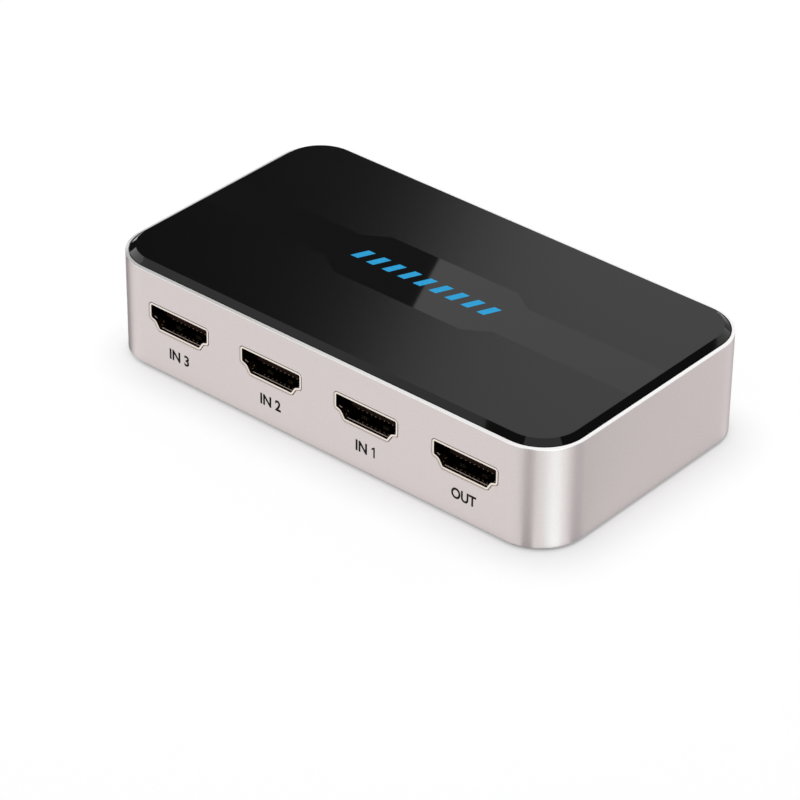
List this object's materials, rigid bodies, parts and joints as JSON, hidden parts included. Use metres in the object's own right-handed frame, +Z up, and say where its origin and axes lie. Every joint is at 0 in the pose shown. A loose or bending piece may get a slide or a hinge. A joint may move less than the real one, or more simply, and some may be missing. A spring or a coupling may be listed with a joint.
{
  "type": "hdmi switch",
  "caption": "Low box with a satin aluminium wall and a black gloss lid that passes one of several HDMI sources to one display, chosen with a push button.",
  "frame": {"origin": "under the middle of the box, on the plane that its feet rest on", "axes": "+X along the long side, +Z up; the HDMI sockets face -Y and the select button faces +Y"},
  "size_m": [0.1056, 0.0596, 0.0223],
  "materials": {
    "band_metal": "satin anodised, pale champagne, with a polished rim",
    "lid_gloss": "black, satin with a high-gloss band and a centre octagon",
    "adhesive_tape": "thin foam tape",
    "cover_plastic": "fine moulded texture",
    "foot_rubber": "matt black rubber",
    "screw_steel": "zinc plated",
    "board_laminate": "green solder mask on glass laminate",
    "gilt_shell": "bright gold plate",
    "contact_gold": "gold plate",
    "insulator_black": "moulded black",
    "inlet_steel": "bright nickel plate",
    "button_gloss": "gloss black",
    "switch_plastic": "moulded black",
    "lamp_clear": "clear tinted epoxy",
    "window_dark": "dark red, nearly black",
    "receiver_epoxy": "black epoxy",
    "tinned_lead": "tin plate",
    "chip_epoxy": "black epoxy",
    "ferrite_grey": "ferrite grey",
    "can_metal": "bare can",
    "capacitor_tan": "fired ceramic with tinned ends"
  },
  "bodies": {
    "housing": {"board_screws": "screw_steel", "bottom_cover": "cover_plastic", "bulk_capacitors": "can_metal", "ceramic_capacitors": "capacitor_tan", "channel_lamp_1": "lamp_clear", "channel_lamp_2": "lamp_clear", "channel_lamp_3": "lamp_clear", "chip_resistors": "chip_epoxy", "circuit_board": "board_laminate", "cover_screws": "screw_steel", "crystal": "can_metal", "hdmi_contacts_input_1": "contact_gold", "hdmi_contacts_input_2": "contact_gold", "hdmi_contacts_input_3": "contact_gold", "hdmi_contacts_output": "contact_gold", "hdmi_insulator_input_1": "insulator_black", "hdmi_insulator_input_2": "insulator_black", "hdmi_insulator_input_3": "insulator_black", "hdmi_insulator_output": "insulator_black", "hdmi_shell_input_1": "gilt_shell", "hdmi_shell_input_2": "gilt_shell", "hdmi_shell_input_3": "gilt_shell", "hdmi_shell_output": "gilt_shell", "housing_band": "band_metal", "ir_receiver": "receiver_epoxy", "ir_receiver_leads": "tinned_lead", "ir_window": "window_dark", "lamp_holders": "switch_plastic", "lamp_leads": "tinned_lead", "microcontroller": "chip_epoxy", "microcontroller_pins": "tinned_lead", "panel_tape": "adhesive_tape", "power_inductor": "ferrite_grey", "power_inlet_contacts": "contact_gold", "power_inlet_insulator": "insulator_black", "power_inlet_shell": "inlet_steel", "power_lamp": "lamp_clear", "rubber_feet": "foot_rubber", "surge_arrays": "chip_epoxy", "switch_base": "switch_plastic", "switch_dome": "inlet_steel", "switch_frame": "inlet_steel", "switch_terminals": "tinned_lead", "switching_chip": "chip_epoxy", "switching_chip_pins": "tinned_lead", "top_panel": "lid_gloss", "voltage_regulator": "chip_epoxy", "voltage_regulator_pins": "tinned_lead"},
    "button": {"select_button": "button_gloss", "switch_plunger": "switch_plastic"}
  },
  "joints": [
    {"name": "button_press", "type": "slide", "parent": "housing", "child": "button", "axis": [0, -1, 0], "range_m": [0, 0.0005], "stiffness_N_per_m": 4000, "springref_m": -0.0002, "deforming": ["switch_dome"]}
  ]
}
